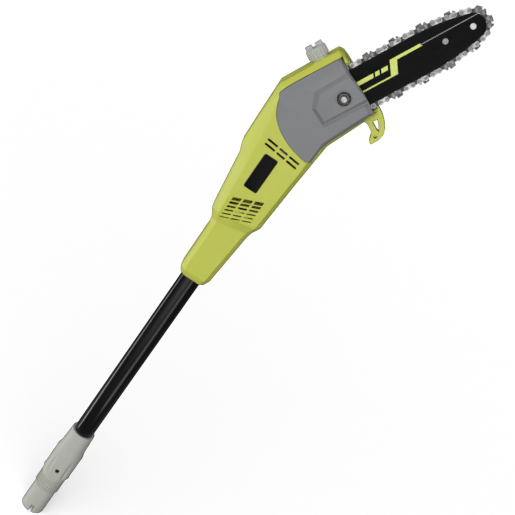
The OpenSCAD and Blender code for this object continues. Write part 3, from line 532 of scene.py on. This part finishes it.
def shell_half(name, front):
    obj = new_object(name, housing_solid(0, 1.5))
    side = -1 if front else 1
    boolean(obj, "INTERSECT", block((500, 200, 800), (0, side * 100.1, 700)))
    hollow = new_object("hollow", housing_hollow())
    if front:
        floor = prism(offset_outline(COVER, 2.5), -60, FLOOR_Y + 2.5)
        boolean(hollow, "DIFFERENCE", moved(floor, BAR))
    boolean(hollow, "DIFFERENCE", *[moved(cylinder(5.2, -50, 50, 24), Matrix.Translation((x, 0, z)))
                                    for x, z in [*SCREWS, (0, 540)]])
    boolean(obj, "DIFFERENCE", hollow)
    cuts = [moved(lathe([(0, 470), (15.3, 470), (15.3, 590), (0, 590)]), Matrix())]
    if front:
        pocket = smooth_outline(COVER, COVER_KEEP)
        cuts += [moved(prism(offset_outline(pocket, 0.75), -60, FLOOR_Y), BAR),
                 moved(prism([(-38, 60), (38, 60), (38, 120), (-38, 120)], -60, FLOOR_Y), BAR),
                 moved(cylinder(14, -30, 0), Matrix.Translation((0, 0, HEAD_Z))),
                 moved(cylinder(4.05, -20, 1, 32), BAR @ Matrix.Translation((0, 0, STUD_S))),
                 moved(block((7, 20, 11), (14, -10, 41.5)), BAR)]
        cuts += [*upper_slots(-60, -10), grille_scoop(), *lower_slots(-60, -10)]
        cuts.append(rounded_plate(21.0, 54.6, 2.8, -33, -31.2, (-6, 686)))
    else:
        cuts += [moved(cylinder(3.9, 20, 60, 32), Matrix.Translation((x, 0, z))) for x, z in SCREWS]
        cuts += [moved(cylinder(4.8, 19, 60, 32), Matrix.Translation((0, 0, 540)))]
        cuts += [*upper_slots(10, 60), *lower_slots(10, 60)]
    cuts.append(cap_bore())
    boolean(obj, "DIFFERENCE", *cuts)
    tidy_mesh(obj, 0.3)
    return obj


def rounded_plate(w, h, r, y0, y1, centre, steps=5):
    outline = []
    for k, (sx, sz) in enumerate(((1, 1), (-1, 1), (-1, -1), (1, -1))):
        for i in range(steps + 1):
            a = math.pi / 2 * (k + i / steps)
            outline.append((centre[0] + sx * (w / 2 - r) + r * math.cos(a), centre[1] + sz * (h / 2 - r) + r * math.sin(a)))
    return prism(outline, y0, y1)


front = shell_half("shell_cover_side", True)
finish(front, "head", "shell_green", nodes=("housing_front",), bevel=0.45, segments=2, angle=35)
back = shell_half("shell_far_side", False)
finish(back, "head", "shell_green", nodes=("housing_back",), bevel=0.45, segments=2, angle=35)

label = new_object("badge_plate", soften(rounded_plate(20.4, 54, 2.5, -32.4, -31.3, (-6, 686)), 0.35, 2, 40))
finish(label, "head", "label_black", nodes=("label_plate",))

# ---------------------------------------------------------------- hook

hook = from_node("hook", "limb_hook")
finish(hook, "head", "shell_green", nodes=("limb_hook",), bevel=0.9, segments=3, angle=28)

# ---------------------------------------------------------------- sprocket cover


def sprocket_cover():
    obj = new_object("sprocket_cover_shell", housing_solid(-1.0, 1.5))
    outline = smooth_outline(COVER, COVER_KEEP)
    trim = [(-80, -60), (80, -60), (80, 88), (31.5, 83), (28, 84.2), (5, 84.2), (-23, 80.3), (-46.8, 80), (-80, 80)]
    boolean(obj, "INTERSECT", moved(prism(outline, -60, FLOOR_Y - 0.9), BAR))
    boolean(obj, "INTERSECT", moved(prism(trim, -70, 10), BAR))
    pad_top = [(-21.5, 79), (-20, 36), (-6, 22.5), (13.2, 23.5), (13.7, 84)]
    pad_foot = [(-27, 79), (-25.5, 30.5), (-8.75, 15.5), (19.5, 16.5), (20, 84)]
    sunk = skin([[(x, y, z) for x, y in ((-47.4, -34), (-46.9, -33.02), (-46.9 + 6.2 * k, -33.02 + 2.7 * k),
                                         (8, -33.02), (8, -34))] for z, k in ((-8, 0.01), (10, 1), (78, 1), (81, 0.9))])
    boolean(obj, "DIFFERENCE", moved(sunk, BAR))
    for x0, x1, end in ((-52, -21.8, 80.2), (20.8, 44, 83.2)):
        wedge = skin([[(x, -40, end - 10), (x, -33.1, end - 5.5), (x, -27, end + 0.5), (x, -27, end + 9),
                       (x, -40, end + 9)] for x in (x0, x1)])
        boolean(obj, "DIFFERENCE", moved(wedge, BAR))
    pad = skin([[(x, -37.6, z) for x, z in pad_top], [(x, -31, z) for x, z in pad_foot]])
    soften(pad, 0.45, 2, 15)
    boolean(obj, "UNION", moved(pad, BAR))
    crease = prism([(19.3, 18.0), (20.5, 18.0), (21.0, 84.5), (19.7, 84.5)], -34, -32.0)
    boolean(obj, "DIFFERENCE", moved(crease, BAR))
    inner = new_object("inner", housing_solid(1.6, 0))
    boolean(inner, "INTERSECT", moved(prism(offset_outline(COVER, -2.5), -70, 10), BAR))
    boolean(inner, "INTERSECT", moved(prism(offset_outline(trim, -2.5), -70, 10), BAR))
    boolean(inner, "DIFFERENCE", moved(block((12, 12, 94), (-45, -34.8, 36)), BAR),
            *[moved(block((34, 16, 20), (x, -32, 82)), BAR) for x in (-37, 38)])
    at_stud = BAR @ Matrix.Translation((0, 0, STUD_S))
    boolean(inner, "DIFFERENCE", moved(cylinder(12.5, -60, -18.3), at_stud))
    boolean(obj, "DIFFERENCE", inner, moved(cylinder(9.6, -60, -25, 64), at_stud),
            moved(cylinder(11.0, -60, -36.7, 64), at_stud),
            moved(cylinder(4.1, -60, 0, 48), at_stud), moved(block((75, 30, 60), (0, -7, 90)), BAR))
    tidy_mesh(obj, 0.3)
    return obj


cover = sprocket_cover()
finish(cover, "cover", "cover_grey", nodes=("sprocket_cover",), bevel=0.6, segments=3, angle=30)

# ---------------------------------------------------------------- oil cap


def oil_cap():
    bm = bmesh.new()
    rows, n = [], 216
    profile = [(0.93, 57.5), (0.985, 57.9), (1.0, 58.6), (1.0, 63), (1.0, 67.2), (0.97, 69.2), (0.90, 70.5),
               (0.80, 71.0), (0.4, 71.0)]
    for k, z in profile:
        row = []
        for i in range(n):
            a = 2 * math.pi * i / n
            groove = 0.5 + 0.5 * math.cos(18 * a)
            depth = 1.1 * max(0.0, min(1.0, (70.8 - z) / 2.2)) * (groove ** 1.4) * (1 if z > 58.2 else 0.4)
            r = 14 * k - (depth if k > 0.85 else 0)
            row.append(bm.verts.new((r * math.cos(a), r * math.sin(a), z)))
        rows.append(row)
    for a, b in zip(rows, rows[1:]):
        for i in range(n):
            j = (i + 1) % n
            bm.faces.new((a[i], a[j], b[j], b[i]))
    bm.faces.new(rows[-1])
    bm.faces.new(list(reversed(rows[0])))
    bmesh.ops.recalc_face_normals(bm, faces=bm.faces)
    obj = new_object("oil_cap_body", bm)
    boolean(obj, "DIFFERENCE", lathe([(0, 50), (11.05, 50), (11.05, 66.8), (0, 66.8)]))
    for x in (-6.9, 6.9):
        lug = block((9.2, 7, 6.0), (x, 0, 73.0))
        soften(lug, 0.9, 3, 30)
        boolean(obj, "UNION", lug)
    obj.data.transform(Matrix.Scale(MM, 4) @ BAR @ Matrix.Translation((0, 5, 54))
                       @ Matrix.Rotation(-math.pi / 2, 4, "Y") @ Matrix.Scale(1 / MM, 4))
    return obj


cap = oil_cap()
finish(cap, "cap", "cap_grey", nodes=("oil_cap",), sharp=40)

# ---------------------------------------------------------------- pole tube and coupling

tube = new_object("pole_tube_painted", lathe([(13.75, 92), (15.0, 92), (15.25, 92.3), (15.25, 583.7), (15.0, 584),
                                              (13.75, 584)], 128))
finish(tube, "head", "tube_black", nodes=("pole_tube",), sharp=50)


def smooth01(x):
    x = max(0.0, min(1.0, x))
    return x * x * (3 - 2 * x)


def coupling_radius(z, a):
    """Outer radius of the coupling at height z and angle a, where 0 faces -Y."""
    if z <= 45:
        r = 18.7
    elif z < 47.6:
        r = 18.7 + 0.2 * (z - 45) / 2.6
    elif z < 74:
        phase = ((z - 47.6) / 4.2 - a / (2 * math.pi)) % 1.0
        fade = smooth01((z - 47.6) / 2.0) * smooth01((73.4 - z) / 2.0)
        r = 18.3 + 2.1 * fade * smooth01(2.9 * min(phase, 0.5 - phase) / 0.5 if phase < 0.5 else 0) + 0.4 * (1 - fade)
    elif z < 75:
        r = 18.9 + 1.7 * (z - 74)
    elif z <= 80:
        r = 20.6
    elif z < 82.5:
        r = 20.6 + 2.0 * smooth01((z - 80) / 2.5)
    elif z <= 124:
        r = 22.6
    elif z <= 140:
        r = 22.6 - 2.7 * smooth01((z - 124) / 16)
    else:
        r = 19.9 - 1.3 * (z - 140) / 31.4
    if z > 82:
        for centre in (-38, 38, 142, 218):
            d = (math.degrees(a) - centre + 180) % 360 - 180
            reach = smooth01((z - 83) / 2) * smooth01((128 - z) / 30)
            r -= 2.2 * reach * math.exp(-(d / 6.0) ** 2)
        flat = abs(math.cos(math.radians(90) - a)) * r
        if z < 127 and flat > 21.6:
            blend = smooth01((z - 83) / 2) * smooth01((127 - z) / 9)
            r = r * (1 - blend) + r * 21.6 / flat * blend
    return r


def coupling():
    heights = [0.0, 0.35, 1.0, 4, 8, 11.5, 20, 30, 40, 44, 45.0]
    heights += [45 + 0.3 * i for i in range(1, 117)]
    heights += [80.5 + 0.7 * i for i in range(0, 66)]
    heights += [127 + 2 * i for i in range(0, 22)] + [170.6, 171.0, 171.4]
    heights = sorted(set(round(h, 3) for h in heights if h <= 171.4))
    n = 168
    bm = bmesh.new()
    rows = []
    for z in heights:
        inset = 0.35 if z == 0 else 0.4 * max(0.0, (z - 170.9) / 0.5)
        row = []
        for i in range(n):
            a = 2 * math.pi * i / n
            r = coupling_radius(z, a) - inset
            row.append(bm.verts.new((r * math.sin(a), -r * math.cos(a), z)))
        rows.append(row)
    for a, b in zip(rows, rows[1:]):
        for i in range(n):
            j = (i + 1) % n
            bm.faces.new((a[i], a[j], b[j], b[i]))
    bm.faces.new(rows[-1])
    bm.faces.new(list(reversed(rows[0])))
    bmesh.ops.recalc_face_normals(bm, faces=bm.faces)
    obj = new_object("coupling_body", bm)
    screw = Matrix.Translation((0, 0, 97))
    boolean(obj, "DIFFERENCE", lathe([(0, 92), (15.3, 92), (15.3, 180), (0, 180)], 128),
            lathe([(0, -1), (14.9, -1), (14.5, 1), (14.5, 40), (0, 40)], 128),
            *[moved(lathe([(0, 20), (2.4, 20), (2.4, 110), (0, 110)], 32), Matrix.Translation((k * 5, 0, 0)))
              for k in (-1, 1)],
            moved(cylinder(2.05, -30, 0, 32), screw), moved(cylinder(3.6, -30, -21, 40), screw))
    for k in (-1, 1):
        notch = block((6, 20, 14), (0, k * 20, 5.5))
        soften(notch, 1.2, 4, 30, keep=lambda e: abs(e.verts[0].co.y - e.verts[1].co.y) < 1)
        boolean(obj, "DIFFERENCE", notch)
    return obj


body = coupling()
finish(body, "head", "coupling_grey", nodes=("tube_coupling",), sharp=35)

# ---------------------------------------------------------------- bar graphic


def painted(name, outlines, mat):
    """Thin printed areas on the cover side of the bar, from outlines of (s, t) points."""
    bm = bmesh.new()
    for outline in outlines:
        part = prism([(-t, s) for s, t in outline], BAR_Y - 2.05, BAR_Y - 1.99)
        mesh = bpy.data.meshes.new("part")
        part.to_mesh(mesh)
        part.free()
        bm.from_mesh(mesh)
        bpy.data.meshes.remove(mesh)
    obj = new_object(name, bm, BAR)
    return finish(obj, "bar", mat, slot="bar_black")


painted("bar_stripes_lime", [
    [(60, -7.8), (123.4, -7.8), (124.2, -5.8), (60, -5.8)],
    [(70, 2.8), (103.6, 2.8), (105.8, 8.3), (70, 8.3)],
    [(106.2, 2.8), (112.4, 2.8), (114.6, 8.3), (108.4, 8.3)],
    [(115.0, 2.8), (124.2, 2.8), (126.4, 8.3), (117.2, 8.3)],
    [(123.4, -7.8), (133.0, -7.8), (140.2, 9.3), (175.5, 9.3), (174.0, 13.2), (131.8, 13.2)],
], "paint_lime")
painted("bar_stripe_grey", [[(174.8, 10.9), (253, 10.9), (252.2, 12.0), (174.4, 12.0)]], "paint_grey")

# ---------------------------------------------------------------- CAD nodes that keep their shape


def dress(node, mat, bevel=0.0, segments=2, angle=35, sharp=35):
    """Gives a CAD node its finish and, where asked, real bevelled edges by modifiers."""
    obj = NODES[node]
    obj.data.materials.clear()
    obj.data.materials.append(MATS[mat])
    weld = obj.modifiers.new("weld", "WELD")
    weld.merge_threshold = 0.000005
    if bevel:
        flat = obj.modifiers.new("flat", "DECIMATE")
        flat.decimate_type = "DISSOLVE"
        flat.angle_limit = math.radians(0.5)
        mod = obj.modifiers.new("edges", "BEVEL")
        mod.width = bevel * MM
        mod.segments = segments
        mod.limit_method = "ANGLE"
        mod.angle_limit = math.radians(angle)
        mod.use_clamp_overlap = True
    obj.data.shade_smooth()
    obj.data.set_sharp_from_angle(angle=math.radians(sharp))


def copied(name, node, mat, bevel, slot=None, **kw):
    """Piece with bevelled, rubbed edges made from a CAD node's mesh."""
    obj = from_node(name, node)
    return finish(obj, NODES[node]["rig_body"], mat, slot=slot, nodes=(node,), bevel=bevel, **kw)


copied("bar_blade", "guide_bar", "bar_black", 0.25, segments=2)


def bar_rivet(name, mat, s, profile):
    obj = new_object(name, moved(lathe(profile, 48), BAR @ Matrix.Translation((0, BAR_Y, s))
                                 @ Matrix.Rotation(math.pi / 2, 4, "X")))
    finish(obj, "bar", mat, slot="nose_rivet_steel", nodes=("nose_rivets",), bevel=0.1)


bar_rivet("nose_rivet", "rivet_steel", NOSE_S, [
    (0, -2.3), (3.4, -2.3), (4.0, -2.0), (2.5, -2.0), (2.5, 2.0), (4.0, 2.0), (3.4, 2.3), (0.9, 2.3), (0, 2.1)])
bar_rivet("disc_rivet", "disc_grey", NOSE_S - 38, [
    (0, -2.0), (3.7, -2.0), (3.7, 2.0), (3.1, 2.0), (2.9, 1.85), (0, 1.85)])

copied("chain_drive_links", "drive_links", "link_dark", 0.12, slot="chain_steel", segments=1)
copied("chain_straps", "tie_straps", "chain_steel", 0.18, segments=2)
copied("chain_cutters", "cutters", "cutter_chrome", 0.18, segments=2)
copied("chain_rivet_heads", "chain_rivets", "rivet_dark", 0.25, slot="chain_steel", segments=2)
# The nut and washer take screw_steel's dark base, which partly paints the shade of the cover's recess onto them.
copied("nut_washer", "bar_nut_washer", "screw_steel", 0.25)
copied("nut_hex", "bar_nut", "screw_steel", 0.6, segments=3)
copied("stud", "bar_stud", "plate_steel", 0.5, segments=3)

for node, mat, bevel in (
    ("coupling_screw", "screw_black", 0.2), ("plug_insert", "insulator_black", 0.3),
    ("plug_contacts", "contact_brass", 0.4), ("motor_wires", "wire_insulation", 0),
    ("tube_bolt", "screw_steel", 0.3), ("housing_screws", "screw_steel", 0.25), ("bar_plate", "plate_steel", 0.2),
    ("gear_case", "case_aluminium", 0.4), ("gear_case_lid", "case_aluminium", 0.3),
    ("gear_case_screws", "screw_steel", 0.25), ("spindle_bearings", "bearing_steel", 0.3),
    ("pinion_bearing", "bearing_steel", 0.3), ("motor_can", "motor_steel", 0.4),
    ("motor_end_cap", "insulator_black", 0.3), ("oil_tank", "tank_white", 0.8), ("oil_pump", "pump_plastic", 0.3),
    ("oil_hoses", "rubber", 0), ("spindle", "shaft_steel", 0.3), ("bevel_gear", "gear_steel", 0),
    ("pump_drive_gear", "pump_plastic", 0.12), ("drive_sprocket", "gear_steel", 0.3),
    ("spindle_clip", "shaft_steel", 0.15), ("motor_shaft", "shaft_steel", 0.2), ("armature", "armature_steel", 0.3),
    ("bevel_pinion", "gear_steel", 0), ("cooling_fan", "insulator_black", 0.15), ("pump_gear", "pump_plastic", 0.12),
    ("nose_sprocket", "gear_steel", 0.1), ("tension_block", "plate_steel", 0.3),
    ("tension_screw", "screw_steel", 0.2), ("cap_gasket", "rubber", 0.2),
):
    dress(node, mat, bevel)

# ---------------------------------------------------------------- floor, light and camera


def plain(name, colour, rough):
    mat = bpy.data.materials.new(name)
    mat.use_nodes = True
    bsdf = mat.node_tree.nodes["Principled BSDF"]
    bsdf.inputs["Base Color"].default_value = (*colour, 1)
    bsdf.inputs["Roughness"].default_value = rough
    bsdf.inputs["Specular IOR Level"].default_value = 0.1
    return mat


bm = bmesh.new()
bmesh.ops.create_grid(bm, x_segments=1, y_segments=1, size=6000)
floor = new_object("floor", bm, Matrix.Translation((0, 0, -0.6)))
floor.data.materials.append(plain("floor_white", (0.62, 0.62, 0.62), 0.8))
floor.is_shadow_catcher = True
floor.visible_glossy = False
floor.visible_shadow = False


def axes(tau, phi, ang):
    """Camera axes (right, down, forward) from the tilt, roll and the pole's angle in the picture."""
    t, p, a = (math.radians(v) for v in (tau, phi, ang))
    pole = (math.cos(a), -math.sin(a), 0.0)
    e1 = (math.sin(a), math.cos(a), 0.0)
    s, c = math.sin(t), math.cos(t)
    z = (c * pole[0], c * pole[1], -s)
    e2 = (s * pole[0], s * pole[1], c)
    x = tuple(math.cos(p) * e1[i] + math.sin(p) * e2[i] for i in range(3))
    y = tuple(-math.sin(p) * e1[i] + math.cos(p) * e2[i] for i in range(3))
    return [Vector((x[i], y[i], z[i])) for i in range(3)]


right, down, ahead = axes(20.5, 8.0, 54.057)
camera = bpy.data.objects.new("camera", bpy.data.cameras.new("camera"))
bpy.context.scene.collection.objects.link(camera)
turn = Matrix((right, -down, -ahead)).transposed().to_4x4()
turn.translation = Vector((-0.11042, -1.22170, 1.03274))
camera.matrix_world = turn
camera.data.sensor_width = 36
camera.data.lens = 64.94
camera.data.clip_start, camera.data.clip_end = 0.05, 40
bpy.context.scene.camera = camera

TARGET = Vector((0.0, 0.0, 0.40))
UP_LEFT = -right * 0.809 - down * 0.588


def studio_world(towards, low, high, power, mirrored):
    """White backdrop for the camera; for the object, a soft dome that is brighter on the key side, dim in mirrors."""
    world = bpy.data.worlds.new("studio")
    bpy.context.scene.world = world
    world.use_nodes = True
    nt = world.node_tree
    n, link = nt.nodes, nt.links.new
    n.clear()
    coord = n.new("ShaderNodeTexCoord")
    dot = n.new("ShaderNodeVectorMath")
    dot.operation = "DOT_PRODUCT"
    dot.inputs[1].default_value = towards.normalized()
    link(coord.outputs["Generated"], dot.inputs[0])
    half = n.new("ShaderNodeMapRange")
    half.inputs["From Min"].default_value = -1.0
    link(dot.outputs["Value"], half.inputs["Value"])
    curve = n.new("ShaderNodeMath")
    curve.operation = "POWER"
    curve.inputs[1].default_value = power
    link(half.outputs["Result"], curve.inputs[0])
    level = n.new("ShaderNodeMapRange")
    level.inputs["To Min"].default_value = low
    level.inputs["To Max"].default_value = high
    link(curve.outputs[0], level.inputs["Value"])
    path = n.new("ShaderNodeLightPath")
    dim = n.new("ShaderNodeMapRange")
    dim.inputs["To Min"].default_value = 1.0
    dim.inputs["To Max"].default_value = mirrored
    link(path.outputs["Is Glossy Ray"], dim.inputs["Value"])
    strength = n.new("ShaderNodeMath")
    strength.operation = "MULTIPLY"
    link(level.outputs["Result"], strength.inputs[0])
    link(dim.outputs["Result"], strength.inputs[1])
    dome, backdrop = n.new("ShaderNodeBackground"), n.new("ShaderNodeBackground")
    link(strength.outputs[0], dome.inputs["Strength"])
    dome.inputs["Color"].default_value = (1, 1, 1, 1)
    backdrop.inputs["Color"].default_value = (1, 1, 1, 1)
    both, out = n.new("ShaderNodeMixShader"), n.new("ShaderNodeOutputWorld")
    link(path.outputs["Is Camera Ray"], both.inputs[0])
    link(dome.outputs[0], both.inputs[1])
    link(backdrop.outputs[0], both.inputs[2])
    link(both.outputs[0], out.inputs["Surface"])


def mirrored_from(share):
    """Where a light stands to be mirrored in the upright tube at this share of its width, from the left."""
    facing = Vector((-ahead.x, -ahead.y, 0)).normalized()
    left = Vector((0, 0, 1)).cross(facing)
    left *= math.copysign(1, left.dot(UP_LEFT))
    sine = 1 - 2 * share
    normal = facing * math.sqrt(1 - sine * sine) + left * sine
    return ahead - 2 * ahead.dot(normal) * normal


def softbox(name, direction, distance, width, height, radiance):
    """Rectangular light that faces the tube, with its long side upright like the tube."""
    data = bpy.data.lights.new(name, "AREA")
    data.shape = "RECTANGLE"
    data.size, data.size_y = width, height
    data.energy = radiance * math.pi * width * height
    obj = bpy.data.objects.new(name, data)
    bpy.context.scene.collection.objects.link(obj)
    back = direction.normalized()
    side = Vector((0, 0, 1)).cross(back).normalized()
    basis = Matrix((side, back.cross(side), back)).transposed().to_4x4()
    basis.translation = TARGET + back * distance
    obj.matrix_world = basis
    return obj


studio_world(-right * 0.22 + down * 0.10 - ahead * 0.97, 0.23, 3.20, 12.0, 0.36)
softbox("strip_left", mirrored_from(0.13), 2.2, 0.45, 3.0, 4.0)
softbox("broad_right", mirrored_from(0.67), 2.4, 0.9, 3.0, 1.6).visible_diffuse = False

scene = bpy.context.scene
scene.view_settings.view_transform = "Standard"
scene.view_settings.look = "None"
